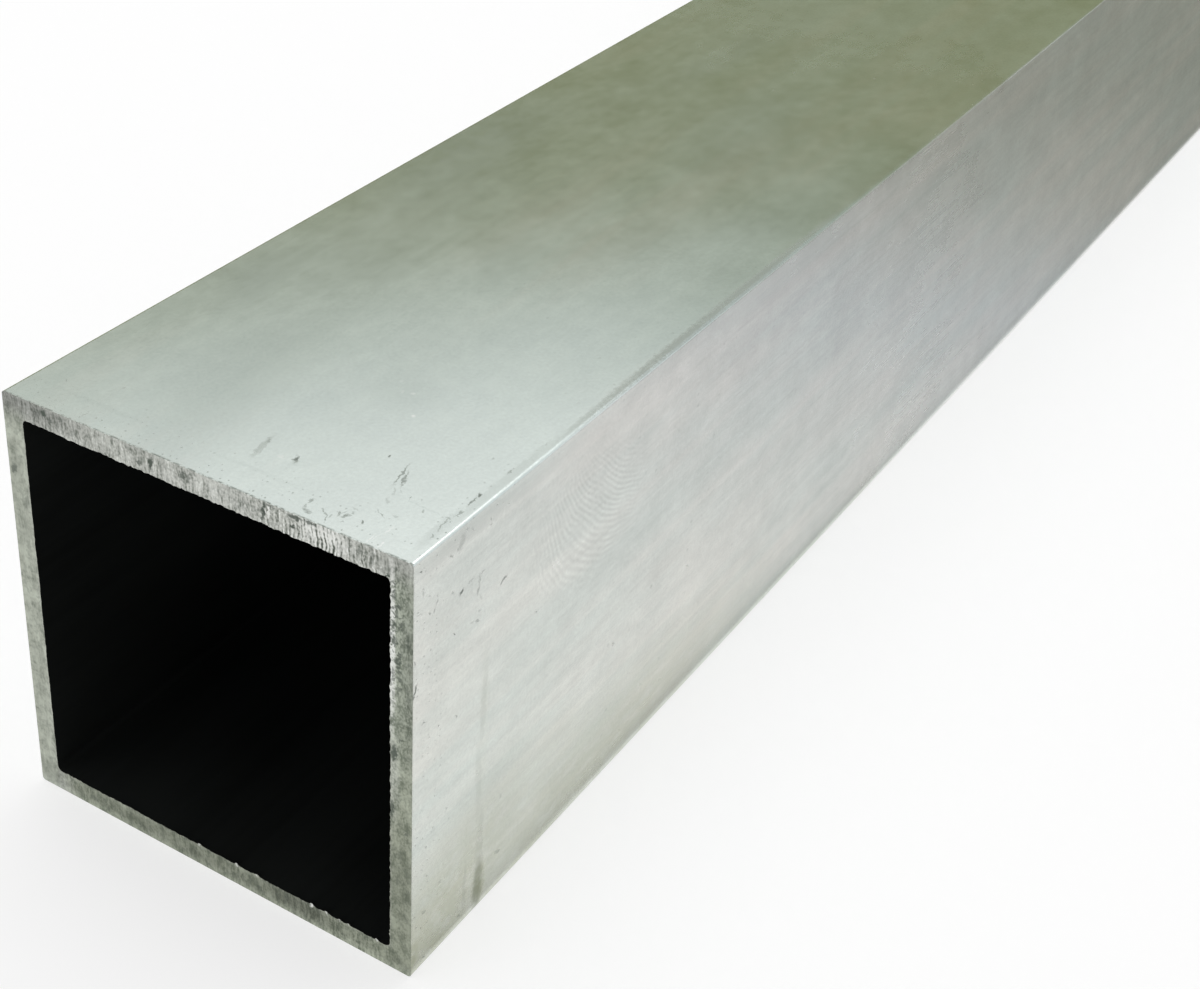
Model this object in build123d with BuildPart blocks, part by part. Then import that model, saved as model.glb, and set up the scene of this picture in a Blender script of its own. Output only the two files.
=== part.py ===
from build123d import *

import os

# Square tube of extruded aluminium, sawn to length and lying on one of its four sides.
# The tube is a single extrusion: four walls of one thickness, outer corners that the
# die leaves almost sharp, inner corners with a slightly larger fillet, a square bore
# from end to end, and both ends sawn square and left as cut.
#
# Frame: +X along the tube, +Z up, origin under the middle of the tube at the height
# of the surface that it lies on. All sizes are in millimetres.

# Driving dimensions
SIDE = 40.0  # outside width and height of the section
WALL = 2.0  # thickness of each wall
LENGTH = 500.0  # from one sawn end to the other
OUTER_CORNER_RADIUS = 0.3  # along the four outside edges
INNER_CORNER_RADIUS = 0.5  # along the four edges of the bore

# Worked out from them
BORE = SIDE - 2 * WALL  # inside width and height, which a plug or an inner tube slides into
AXIS_HEIGHT = SIDE / 2  # the tube's own axis above the surface that it lies on

# The section stands across the tube, with its local X along the row's +Y and its
# local Y along +Z, so that an extrusion runs along the tube.
SECTION_PLANE = Plane(origin=(0, 0, AXIS_HEIGHT), x_dir=(0, 1, 0), z_dir=(1, 0, 0))

PARTS_FOLDER = "parts"


with BuildPart() as square_tube:
    with BuildSketch(SECTION_PLANE) as section:
        RectangleRounded(SIDE, SIDE, OUTER_CORNER_RADIUS)
        RectangleRounded(BORE, BORE, INNER_CORNER_RADIUS, mode=Mode.SUBTRACT)
    extrude(amount=LENGTH / 2, both=True)

square_tube.part.label = "square_tube"

os.makedirs(PARTS_FOLDER, exist_ok=True)
export_step(square_tube.part, f"{PARTS_FOLDER}/{square_tube.part.label}.step")
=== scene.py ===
"""Looks of the square aluminium tube: its mill finish, its sawn ends, and the studio it lies in."""

import math

import bpy
import numpy as np
from bpy.props import FloatProperty, FloatVectorProperty, IntProperty, PointerProperty
from mathutils import Matrix, Vector, noise


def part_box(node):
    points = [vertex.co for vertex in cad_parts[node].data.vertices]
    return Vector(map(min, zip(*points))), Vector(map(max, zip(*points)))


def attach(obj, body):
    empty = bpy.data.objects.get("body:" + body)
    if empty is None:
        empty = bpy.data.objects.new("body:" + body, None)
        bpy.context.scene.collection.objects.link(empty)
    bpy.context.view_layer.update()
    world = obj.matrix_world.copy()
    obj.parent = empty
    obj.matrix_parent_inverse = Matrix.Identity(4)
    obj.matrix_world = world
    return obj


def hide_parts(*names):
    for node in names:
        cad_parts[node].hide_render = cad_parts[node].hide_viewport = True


bl_info = {
    "name": "Square Aluminium Tube",
    "version": (1, 0, 0),
    "blender": (4, 5, 0),
    "location": "View3D > Sidebar > Tube",
    "description": "Builds a mill finish square tube with sawn ends, and a studio to show it in",
    "category": "Add Mesh",
}

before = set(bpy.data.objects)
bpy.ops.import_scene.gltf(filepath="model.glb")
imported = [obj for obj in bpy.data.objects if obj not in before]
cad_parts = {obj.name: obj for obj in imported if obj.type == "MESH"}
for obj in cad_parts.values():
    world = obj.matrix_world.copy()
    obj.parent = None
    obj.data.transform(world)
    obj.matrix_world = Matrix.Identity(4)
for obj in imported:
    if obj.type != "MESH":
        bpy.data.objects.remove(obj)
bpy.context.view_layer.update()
TUBE_NODE = "square_tube"
TUBE_LOW, TUBE_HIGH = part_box(TUBE_NODE)

MM = 0.001
SIDE = TUBE_HIGH.z - TUBE_LOW.z
AXIS_HEIGHT = (TUBE_HIGH.z + TUBE_LOW.z) / 2
NEAR_X, FAR_X = TUBE_LOW.x, TUBE_HIGH.x

MILL, MILL_TOP, MILL_SIDE, SAWN, BORE = range(5)  # the mesh's material slots
TOP_WALL, SIDE_WALL = 0, 3  # of the four walls, counted clockwise from the top as the near end shows them


# ---- Settings ----


def length(name, description, default):
    return FloatProperty(name=name, description=description, default=default, unit="LENGTH")


def colour(name, description, default):
    return FloatVectorProperty(
        name=name, description=description, default=default, subtype="COLOR", min=0.0, max=1.0
    )


def factor(name, description, default):
    limits = {"min": 0.0, "max": 1.0, "subtype": "FACTOR"}
    return FloatProperty(name=name, description=description, default=default, **limits)


def rotation(name, description, degrees):
    return FloatProperty(name=name, description=description, default=math.radians(degrees), unit="ROTATION")


class TubeShape(bpy.types.PropertyGroup):
    """Sizes of the tube's section and of the marks that the saw leaves."""

    wall: length("Wall", "Thickness of each wall", 2.0 * MM)
    outer_radius: length("Outer corner", "Radius along the outside edges", 0.3 * MM)
    inner_radius: length("Inner corner", "Radius along the edges of the bore", 0.5 * MM)
    ridge_depth: length("Saw ridges", "Depth of the grooves that the saw's teeth leave", 0.06 * MM)
    burr: length("Burr", "How far the saw pushes ragged metal into the bore", 0.12 * MM)
    dent: length("Dent", "Depth of the small dent near one end", 0.008 * MM)
    columns: IntProperty(
        name="Columns", description="Mesh columns along the straight part of each wall", default=240, min=8
    )


class TubeFinish(bpy.types.PropertyGroup):
    """Colours and gloss of the tube's surfaces."""

    mill_colour: colour("Mill finish", "Colour of the outside as extruded", (0.785, 0.845, 0.815))
    warm_colour: colour("Warm oxide", "Colour of the outside where its oxide is warmer", (0.83, 0.83, 0.795))
    # also the colour of painted highlights: the dent's lit side, and the lit patches on the near end
    bright_colour: colour("Fresh metal", "Colour of new scratches and burrs", (0.95, 0.96, 0.94))
    # also the colour of the painted shade towards the side's bottom edge
    smear_and_shade_colour: colour("Smears", "Colour of oily smears", (0.35, 0.37, 0.22))
    film_colour: colour("Film", "Colour of the grey film on the top", (0.39, 0.45, 0.45))
    # also the colour of the painted shade beside the ridge and on the dent
    dirt_and_shade_colour: colour("Dirt", "Colour of what sits in the scratches and pits", (0.075, 0.095, 0.075))
    sawn_colour: colour("Sawn metal", "Colour of the cut ends", (0.52, 0.53, 0.50))
    # painted shade: the bore's metal is painted near black
    bore_shade_colour: colour("Bore", "Colour of the dark inside", (0.006, 0.007, 0.0065))
    mill_roughness: factor("Mill roughness", "Roughness of the outside", 0.21)
    brushing: factor("Brushing", "How much the die lines stretch a reflection across the tube", 0.3)
    sawn_roughness: factor("Sawn roughness", "Roughness of the cut ends", 0.42)


class StudioSettings(bpy.types.PropertyGroup):
    """The camera, the floor and the light."""

    camera_place: FloatVectorProperty(
        name="Camera",
        description="Where the camera stands",
        default=(-0.34388, -0.08716, 0.12372),
        subtype="TRANSLATION",
        unit="LENGTH",
    )
    azimuth: rotation("Azimuth", "Direction in which the camera looks, from +X towards +Y", 32.22)
    elevation: rotation("Elevation", "Direction in which the camera looks, above the horizon", -29.02)
    roll: rotation("Roll", "Turn of the camera about its own axis", 2.06)
    focal_length: FloatProperty(
        name="Focal length",
        description="Focal length for a sensor 36 mm wide",
        default=60.99,
        unit="CAMERA",
    )
    floor_size: length("Floor", "Side of the square floor", 8.0)
    tent_radius: length("Tent", "Radius of the shade that reflections pass through", 6.0)


class SquareTubeSettings(bpy.types.PropertyGroup):
    """Everything that a user may change."""

    shape: PointerProperty(type=TubeShape)
    finish: PointerProperty(type=TubeFinish)
    studio: PointerProperty(type=StudioSettings)


# ---- Mesh ----

FAN_START = 16.0 * MM  # past this, measured from the wall's middle, columns fan out to the corner
FAN_STEPS = 16
CORNER_SUPPORT = 0.025 * MM  # the last column of the fan keeps the flat wall flat right up to the corner
ARC_STEPS = 4
END_STEPS = 12  # faces across the thickness of a wall
# Rings along the tube, in millimetres from an end. The near end has more, because of its dent.
NEAR_RINGS = (0, 0.07, 0.16, 0.3, 0.5, 0.8, 1.2, 1.8, 2.5, 3.2, 4, 4.6)
NEAR_RINGS += (4.9, 5.2, 5.5, 5.8, 6.1, 6.5, 8, 10, 14, 20, 32, 50)
FAR_RINGS = (0, 0.07, 0.16, 0.3, 0.5, 0.8, 1.2, 2.5, 5, 10, 20, 50)
BORE_RINGS = (0, 0.08, 0.2, 0.4, 0.8, 1.6, 4, 12, 40)
MIDDLE_RINGS = 5  # evenly spread between those of the ends
MIDDLE_START = 100 * MM  # how far from an end they start
SHARP_ANGLE = math.radians(40)  # edges that turn by more than this aren't smoothed over

# The saw's marks and a dent, in millimetres. The places are along y, from the tube's middle.
SAW_REACH = 0.8  # the cut's relief dies away within this distance of an end
BURR_REACH = 0.5  # and the burr within this
BURR_ROOT = 0.25  # share of the wall's thickness that a burr grows from
EDGE_RELIEF = 0.06  # share of the relief that is left at the outside edge, which stays nearly straight
EDGE_WIDTH = 0.2  # share of the wall's thickness over which the relief grows to its full depth
NEAR_SEED, FAR_SEED = 0.0, 40.0  # the two ends differ by these
TOP_WALL_HEIGHT, BOTTOM_WALL_HEIGHT = 17.5, -17.0  # above the axis, just short of those walls
CHATTER_MIDDLE, CHATTER_WIDTH = -11.5, 2.6
CRACK_PLACE, CRACK_WIDTH = -6.5, 0.09
CRACK_LIP, CRACK_LIP_WIDTH = 0.22, 0.12  # the raised lip beside the crack
BURR_LUMPS = (-16.7, -13.8, -12.9, -11.6, -10.1, -4.4, -2.2, 1.8)  # along the bottom of the bore
BURR_LUMP_WIDTH = 0.18
PUSHED_SIDE, PUSHED_SHARE = 17.0, 0.35  # past this y the burr is smaller, as the blade pushes towards -Y
DENT_PLACE = (5.6, -5.0)  # from the near end, and along y
DENT_RADIUS = 0.38
DENT_STRETCH = 1.3  # how much longer the dent is along the tube than across it
FLATNESS = 0.01  # a point this near to the top's plane is on the top


def half_wall(half_side, radius, columns):
    """Points from the middle of a wall to the middle of its corner, along the wall and out from the axis."""
    flat = np.linspace(0.0, FAN_START, columns // 2 + 1)
    centre = half_side - radius
    fan = np.append(np.linspace(FAN_START, centre - CORNER_SUPPORT, FAN_STEPS)[1:], centre)
    turn = np.linspace(math.pi / 2, math.pi / 4, ARC_STEPS + 1)[1:]
    along = np.concatenate([flat, fan, centre + radius * np.cos(turn)])
    out = np.concatenate([np.full(len(flat) + len(fan), half_side), centre + radius * np.sin(turn)])
    return np.stack([along, out], axis=1)


def section(half_side, radius, columns):
    """The whole outline as (y, z) points about the tube's axis, wall by wall from the top one."""
    right = half_wall(half_side, radius, columns)
    left = right[:0:-1] * (-1, 1)
    wall = np.concatenate([left, right[:-1]])  # the last corner point belongs to the next wall
    walls = []
    for quarter in range(4):
        angle = -quarter * math.pi / 2
        turn = np.array([[math.cos(angle), math.sin(angle)], [-math.sin(angle), math.cos(angle)]])
        walls.append(wall @ turn)
    return np.concatenate(walls)


def saw_depth(y, z, seed):
    """How far below the end's plane the saw left the metal at a point, from 0 to about 2.

    Each noise is given by how quickly it changes across and up, per millimetre."""
    lean = y + 0.10 * z + 0.5 * noise.noise((0.1 * y, 0.12 * z, seed))
    ridges = noise.noise((2.4 * lean, 0.25 * z, seed + 3))
    fine = noise.noise((6.5 * lean, 0.7 * z, seed + 5))
    torn = noise.noise((1.1 * y, 1.2 * z, seed + 9))
    chatter = 0.45 + 0.75 * noise.noise((0.17 * y, 0.12 * z, seed + 11))
    if z > TOP_WALL_HEIGHT:  # the saw enters through the top wall, where it chatters most
        chatter += 1.3 * math.exp(-(((y - CHATTER_MIDDLE) / CHATTER_WIDTH) ** 2))
    depth = 0.65 + 1.2 * chatter * ridges + 0.4 * fine + 0.5 * torn
    if z > TOP_WALL_HEIGHT:
        crack = y - CRACK_PLACE - 0.25 * math.sin(2.3 * z) - 0.12 * (z - 19)
        depth += 1.6 * math.exp(-((crack / CRACK_WIDTH) ** 2))
        depth -= 0.8 * math.exp(-(((crack + CRACK_LIP) / CRACK_LIP_WIDTH) ** 2))
    return min(max(depth, 0.0), 2.4)


def burr_height(y, z, seed):
    """How far ragged metal stands into the bore at a point of its edge, from 0 to about 2."""
    scallops = noise.noise((0.7 * y, 0.7 * z, seed + 21))
    teeth = noise.noise((2.1 * y, 2.1 * z, seed + 23))
    crumbs = noise.noise((4.5 * y, 4.5 * z, seed + 27))
    height = max(0.0, 0.45 + 0.6 * scallops + 0.9 * teeth + 0.5 * crumbs)
    if z < BOTTOM_WALL_HEIGHT:
        height += 1.6 * sum(math.exp(-(((y - place) / BURR_LUMP_WIDTH) ** 2)) for place in BURR_LUMPS)
    return height * (PUSHED_SHARE if y > PUSHED_SIDE else 1.0)


def sampled(measure, points, seed):
    """measure at each (y, z) point, given in millimetres."""
    flat = (points.reshape(-1, 2) / MM).tolist()
    return np.array([measure(y, z, seed) for y, z in flat]).reshape(points.shape[:-1])


def fade(distance, reach):
    return np.clip(1.0 - distance / reach, 0.0, 1.0)


def tube_mesh(shape):
    """One closed skin: outside wall, far end, bore and near end, as a grid that closes both ways.

    Gives the points of each ring, its faces' material slots, and how deep the saw cut at each point."""
    half_side = SIDE / 2
    outer = section(half_side, shape.outer_radius, shape.columns)
    inner = section(half_side - shape.wall, shape.inner_radius, shape.columns)
    inward = inner - outer
    inward = inward / np.linalg.norm(inward, axis=1, keepdims=True)

    middle = np.linspace(NEAR_X + MIDDLE_START, FAR_X - MIDDLE_START, MIDDLE_RINGS)
    near, far, bore = (np.array(rings) * MM for rings in (NEAR_RINGS, FAR_RINGS, BORE_RINGS))
    across = np.linspace(0.0, 1.0, END_STEPS + 1)[1:-1]
    outside_x = np.concatenate([NEAR_X + near, middle, (FAR_X - far)[::-1]])
    bore_x = np.concatenate([FAR_X - bore, middle[-2:0:-1], (NEAR_X + bore)[::-1]])
    ring_x = np.concatenate([outside_x, np.full(len(across), FAR_X), bore_x, np.full(len(across), NEAR_X)])
    # 0 on the outside, 1 on the bore, and in between across the cut ends
    depth_in = np.concatenate([np.zeros(len(outside_x)), across, np.ones(len(bore_x)), across[::-1]])
    counts = (len(outside_x) - 1, len(across) + 1, len(bore_x) - 1, len(across) + 1)
    slots = np.repeat((MILL, SAWN, BORE, SAWN), counts)
    slots = np.repeat(slots[:, None], len(outer), axis=1)
    walls = np.repeat(np.arange(4), len(outer) // 4)
    slots[(slots == MILL) & (walls == TOP_WALL)] = MILL_TOP
    slots[(slots == MILL) & (walls == SIDE_WALL)] = MILL_SIDE

    flat = outer + (inner - outer) * depth_in[:, None, None]
    along = np.repeat(ring_x[:, None], len(outer), axis=1)
    cut = np.zeros(along.shape)
    for end_x, into, seed in ((NEAR_X, 1.0, NEAR_SEED), (FAR_X, -1.0, FAR_SEED)):
        distance = np.abs(ring_x - end_x) / MM
        rings = np.flatnonzero(distance < SAW_REACH)
        reach = fade(distance[rings], SAW_REACH)[:, None]
        on_bore = depth_in[rings, None]
        burr = sampled(burr_height, inner, seed) * fade(1.0 - on_bore, BURR_ROOT) ** 2
        burr = burr * fade(distance[rings], BURR_REACH)[:, None]
        depth = sampled(saw_depth, flat[rings], seed)
        depth *= 1.0 - 0.5 * np.clip(burr, 0.0, 1.0)
        depth *= EDGE_RELIEF + (1.0 - EDGE_RELIEF) * np.clip(on_bore / EDGE_WIDTH, 0.0, 1.0)
        cut[rings] = depth * reach
        along[rings] += into * shape.ridge_depth * depth * reach
        flat[rings] += inward * (shape.burr * burr)[:, :, None]

    on_top = (depth_in[:, None] == 0.0) & (flat[:, :, 1] > half_side - FLATNESS * MM)
    dent_x, dent_y = DENT_PLACE
    across_dent = (flat[:, :, 0] / MM - dent_y) * DENT_STRETCH
    from_dent = np.hypot((along - NEAR_X) / MM - dent_x, across_dent) / DENT_RADIUS
    flat[:, :, 1] -= on_top * shape.dent * np.exp(-(from_dent**2))

    points = np.concatenate([along[:, :, None], flat], axis=2)
    points[:, :, 2] += AXIS_HEIGHT
    return points, slots, cut


def mesh_from_grid(name, points, slots, cut):
    """A mesh of quads from rings of points, closed both ways."""
    rings, columns, _ = points.shape
    ring, column = np.meshgrid(np.arange(rings), np.arange(columns), indexing="ij")
    next_ring, next_column = (ring + 1) % rings, (column + 1) % columns
    corners = [(ring, column), (next_ring, column), (next_ring, next_column), (ring, next_column)]
    faces = np.stack([r * columns + c for r, c in corners], axis=-1).reshape(-1, 4)
    mesh = bpy.data.meshes.new(name)
    mesh.from_pydata(points.reshape(-1, 3).tolist(), [], faces.tolist())
    mesh.polygons.foreach_set("material_index", slots.ravel())
    mesh.attributes.new("saw_depth", "FLOAT", "POINT").data.foreach_set("value", cut.ravel())
    mesh.shade_smooth()
    mesh.set_sharp_from_angle(angle=SHARP_ANGLE)
    mesh.validate()
    return mesh


# ---- Shader nodes ----


class Nodes:
    """Adds shader nodes to a material or a world, and joins each one to what feeds it."""

    def __init__(self, owner):
        owner.use_nodes = True
        self.tree = owner.node_tree
        self.tree.nodes.clear()

    def add(self, kind, inputs, **settings):
        """A new node. inputs maps its sockets, by name or number, to values or to other nodes' outputs."""
        node = self.tree.nodes.new("ShaderNode" + kind)
        for name, value in settings.items():
            setattr(node, name, value)
        for name, value in inputs.items():
            if isinstance(value, bpy.types.NodeSocket):
                self.tree.links.new(value, node.inputs[name])
            else:
                node.inputs[name].default_value = value
        return node

    def math(self, operation, *values):
        return self.add("Math", dict(enumerate(values)), operation=operation).outputs[0]

    def product(self, first, *others):
        for other in others:
            first = self.math("MULTIPLY", first, other)
        return first

    def largest(self, first, *others):
        for other in others:
            first = self.math("MAXIMUM", first, other)
        return first

    def vector(self, operation, *values):
        node = self.add("VectorMath", dict(enumerate(values)), operation=operation)
        return node.outputs["Value" if operation == "LENGTH" else "Vector"]

    def scaled(self, vector, amount):
        return self.add("VectorMath", {0: vector, "Scale": amount}, operation="SCALE").outputs[0]

    def place(self, unit=1.0):
        """Where a point of the object is, in the given unit."""
        return self.scaled(self.add("TexCoord", {}).outputs["Object"], 1.0 / unit)

    def split(self, vector):
        return self.add("SeparateXYZ", {0: vector}).outputs[:3]

    def joined(self, x, y, z=0.0):
        return self.add("CombineXYZ", {0: x, 1: y, 2: z}).outputs[0]

    def ease(self, value, start, end, low=0.0, high=1.0):
        """Goes smoothly from low to high as value goes from start to end, whichever of those is larger."""
        if start > end:
            start, end, low, high = end, start, high, low
        inputs = {0: value, 1: start, 2: end, 3: low, 4: high}
        return self.add("MapRange", inputs, interpolation_type="SMOOTHSTEP").outputs[0]

    def noise(self, vector, scale, detail=2.0, roughness=0.5, tint=False, dimensions="2D"):
        """Cloudy noise from 0 to 1, about 0.5. scale is a number, or one for each axis."""
        if not isinstance(scale, (int, float)):
            vector = self.vector("MULTIPLY", vector, scale)
            scale = 1.0
        inputs = {"Vector": vector, "Scale": scale, "Detail": detail, "Roughness": roughness}
        node = self.add("TexNoise", inputs, noise_dimensions=dimensions)
        return node.outputs["Color" if tint else "Fac"]

    def mix(self, amount, first, second):
        node = self.add("Mix", {0: amount}, data_type="RGBA")
        for number, value in ((6, first), (7, second)):
            if isinstance(value, bpy.types.NodeSocket):
                self.tree.links.new(value, node.inputs[number])
            else:
                node.inputs[number].default_value = (*value, 1.0)
        return node.outputs[2]

    def ramp(self, amount, *stops):
        """A colour ramp through stops of (place, colour)."""
        node = self.add("ValToRGB", {0: amount})
        elements = node.color_ramp.elements
        while len(elements) < len(stops):
            elements.new(0.5)
        for element, (place, shade) in zip(elements, stops):
            element.position = place
            element.color = (*shade, 1.0)
        return node.outputs[0]

    def sum(self, start, *terms):
        """start plus amount times (value minus a half), for each term of (value, amount)."""
        total = start
        for value, amount in terms:
            shifted = self.math("MULTIPLY_ADD", value, amount, -0.5 * amount)
            total = self.math("ADD", total, shifted)
        return total

    def bump(self, height):
        """The normal of a surface with this relief, in millimetres."""
        return self.add("Bump", {"Strength": 1.0, "Distance": MM, "Height": height}).outputs[0]

    def surface(self, inputs):
        """Ends a material in one Principled shader."""
        self.finish("OutputMaterial", self.add("BsdfPrincipled", inputs))

    def finish(self, kind, shader):
        self.add(kind, {"Surface": shader.outputs[0]})


def new_material(name):
    """A new material, and what adds nodes to it."""
    material = bpy.data.materials.new(name)
    return material, Nodes(material)


# ---- Materials ----

# Marks on a face, as (from the near end, across, angle, half length, half width, strength), in
# millimetres and degrees. Across is y on the top, and the height on the side.
TOP_DIRT_AND_SHADE = (
    (5.7, -1.75, 11, 1.9, 0.34, 0.24),
    (6.6, -1.6, 28, 0.6, 0.2, 0.42),
    # painted shade: the dark side of the dent
    (5.75, -4.95, 24, 0.58, 0.22, 0.78),
    (0.9, -9.85, 80, 0.55, 0.2, 0.5),
    (1.35, -9.4, 25, 0.35, 0.14, 0.3),
    (2.1, -9.25, 5, 0.36, 0.14, 0.44),
    (1, -11.45, 32, 0.55, 0.09, 0.5),
    (1.55, -10.9, 60, 0.42, 0.1, 0.48),
    (1.4, -11.6, 20, 0.22, 0.1, 0.3),
    (1.95, -11.9, 30, 0.42, 0.11, 0.5),
    (2.3, -12.1, -20, 0.3, 0.1, 0.34),
    (2, -12.5, -42, 0.42, 0.13, 0.58),
    (1.3, -12.65, 10, 0.22, 0.09, 0.28),
    (2.65, -12.7, 20, 0.24, 0.11, 0.48),
    (3.1, -12.5, 80, 0.4, 0.1, 0.18),
    (2.1, -13.9, 25, 0.28, 0.15, 0.7),
    (3.7, -14.35, 60, 0.75, 0.06, 0.34),
    (4.05, -15.5, 70, 0.25, 0.12, 0.2),
    (8.8, -12.55, 13, 1.6, 0.12, 0.55),
    (8.3, -13.15, 20, 1.25, 0.14, 0.52),
    (6.5, -13.5, 25, 0.6, 0.1, 0.22),
    (5.3, -13.8, 30, 0.5, 0.16, 0.18),
    (6.9, -13.9, 60, 0.35, 0.07, 0.2),
    (6.65, -14.95, 20, 0.2, 0.11, 0.42),
    (5.7, -16.7, 10, 0.24, 0.1, 0.3),
    (6.8, -15.8, 50, 0.22, 0.1, 0.18),
    (10.2, -10.4, 30, 0.2, 0.12, 0.75),
    (14.5, -16.9, 0, 0.18, 0.14, 0.22),
    (5.2, -18.8, 4, 1, 0.12, 0.42),
    (6.1, -18.75, 70, 0.28, 0.12, 0.6),
    (7, -18.95, -8, 0.6, 0.12, 0.46),
    (8.9, -18.9, 3, 0.8, 0.14, 0.62),
    (9.85, -18.9, 35, 0.32, 0.15, 0.78),
    (3.6, -19, 0, 0.4, 0.11, 0.4),
    (13.8, -18.95, 8, 0.45, 0.13, 0.42),
    (18.5, -19, 0, 0.5, 0.09, 0.18),
    (1.2, 12.2, 6, 0.6, 0.07, 0.3),
    (4.05, 16.9, 42, 0.32, 0.06, 0.45),
    (2.7, 19.1, 40, 0.25, 0.1, 0.25),
    (5.9, 12.5, 20, 0.22, 0.12, 0.25),
    (4.4, 8.8, 60, 0.2, 0.12, 0.18),
    # painted shade: the next two darken a band along the top beside the ridge
    (44, -19.55, 0, 27, 0.62, 0.4),
    (13, -19.3, 0, 9, 0.55, 0.1),
    (4.5, -18.9, 2, 3.5, 0.5, 0.1),
)
SIDE_DIRT_AND_SHADE = (
    (0.9, 38.9, -30, 0.18, 0.11, 0.85),
    (4.6, 38.05, -25, 0.28, 0.14, 0.5),
    (5.5, 38.1, 20, 0.24, 0.16, 0.4),
    (6, 38.6, 62, 0.95, 0.4, 0.3),
    (7.3, 39, -50, 0.3, 0.12, 0.32),
    (9.75, 38.4, 85, 0.18, 0.1, 0.36),
    (9.75, 37.95, 85, 0.16, 0.1, 0.32),
    (1.2, 37, 86, 0.6, 0.09, 0.26),
    (2.95, 35.5, -60, 0.3, 0.1, 0.4),
    (2.85, 35, 50, 0.3, 0.09, 0.44),
    (2.6, 34.5, 65, 0.32, 0.09, 0.44),
    (2.05, 34.55, -20, 0.26, 0.13, 0.46),
    (0.7, 35.2, -30, 0.35, 0.11, 0.24),
    (4.9, 34.6, -55, 0.3, 0.13, 0.34),
    (6, 34, 62, 0.4, 0.16, 0.8),
    (7.2, 34.35, -4, 0.45, 0.09, 0.26),
    (8.8, 34.25, 0, 0.45, 0.1, 0.26),
    (8.4, 33.8, 88, 0.55, 0.14, 0.34),
    (8.25, 32.9, 75, 0.55, 0.18, 0.38),
    (8.7, 31.9, -70, 0.45, 0.14, 0.16),
    (11.7, 31.8, 22, 0.48, 0.14, 0.66),
    (5.2, 30.7, -35, 0.24, 0.11, 0.55),
    (8.2, 30.05, -24, 0.42, 0.13, 0.45),
    (7.5, 30.35, -24, 0.28, 0.09, 0.24),
    (8.5, 30.85, -30, 0.24, 0.12, 0.24),
    (0.28, 28.6, 70, 0.6, 0.16, 0.8),
    (0.12, 28.1, 0, 0.25, 0.14, 0.8),
    (0.2, 31.2, -60, 0.35, 0.12, 0.5),
    (1.4, 24.9, -28, 0.26, 0.11, 0.58),
    (3.3, 23.35, -10, 0.22, 0.11, 0.36),
    (5.65, 22.6, -45, 0.24, 0.11, 0.4),
    (16.7, 25.7, -60, 0.28, 0.16, 0.22),
    (1.85, 12.35, -50, 0.22, 0.12, 0.32),
    (2.7, 13.5, 40, 0.24, 0.12, 0.18),
    (4.6, 14.2, -50, 0.22, 0.12, 0.22),
    (4.9, 13, -30, 0.26, 0.12, 0.2),
    (3.8, 7.15, -30, 0.22, 0.12, 0.24),
    (1.6, 5.7, -30, 0.32, 0.16, 0.28),
    (12.3, 9.8, -40, 0.26, 0.14, 0.18),
    (12.1, 3.9, -20, 0.45, 0.28, 0.3),
    (29.7, 14.2, -20, 0.35, 0.2, 0.26),
    (36, 16.5, -20, 0.3, 0.2, 0.2),
    (1.7, 0.9, -30, 0.4, 0.16, 0.36),
    (6.6, 1.2, -30, 0.35, 0.16, 0.42),
    (9.2, 2.6, 86, 3.6, 0.8, 0.34),
    (9.3, 6.5, 86, 4.5, 0.6, 0.11),
    (8.95, 13.5, 92, 4.5, 0.5, 0.08),
    (9.4, 21, 87, 4.5, 0.45, 0.06),
    (7.3, 3.6, 87, 3.2, 0.3, 0.14),
    (7.5, 39, 0, 7.5, 1.1, 0.11),
    (15, 38.6, 0, 6, 0.8, 0.06),
    (60, 38.6, 0, 15, 2.8, 0.09),
    # painted shade: a thin band along the ridge on the side
    (92, 39.9, 0, 52, 0.35, 0.2),
)
# Wide soft smudges, in the same terms. On the side, some are painted shade towards the bottom edge.
SIDE_SMUDGES_AND_SHADE = (
    # partly an oily smear, partly painted shade of the floor beside the tube
    (0, 0.5, 24, 22, 10, 0.56),
    (9.2, 7.5, 89, 11, 1.3, 0.22),
    (9.3, 2.4, 86, 4.5, 1.5, 0.8),
    (8.8, 7.9, 88, 1.6, 0.45, 0.3),
    (7.35, 7.5, 88, 5.6, 0.4, 0.38),
    (4.65, 5, 88, 2.8, 0.5, 0.3),
    (0.2, 2, 80, 3, 1.6, 0.75),
    (3, 1.2, -4, 6.5, 1.7, 0.6),
    (7.5, 1.9, 4, 3.6, 1, 0.4),
    # painted shade along the bottom edge
    (16, 0.2, 0, 16, 1.6, 0.55),
    (27, 0.5, 0, 36, 10, 0.42),
    # painted shade along the bottom edge
    (60, 0.3, 0, 50, 1.3, 0.3),
    (15.7, 6.2, -60, 1.2, 0.5, 0.16),
    (20, 9.5, -8, 9, 3.8, 0.15),
    (9.5, 22, 90, 5, 0.7, 0.12),
)
TOP_SMUDGES = (
    (18.5, -6, 90, 4.2, 3.4, 0.12),
    (26, 15.5, 20, 8, 3, 0.14),
    (2.9, 6, 90, 17, 0.35, 0.12),
    (60, 17, 8, 18, 7, 0.26),
    (9, 5.5, 12, 20, 5, 0.22),
    (80, -4, 8, 16, 6, 0.14),
    (98, 8, -4, 12, 2.4, 0.12),
    (6.2, -16.5, 88, 2.2, 0.1, 0.18),
)
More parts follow.
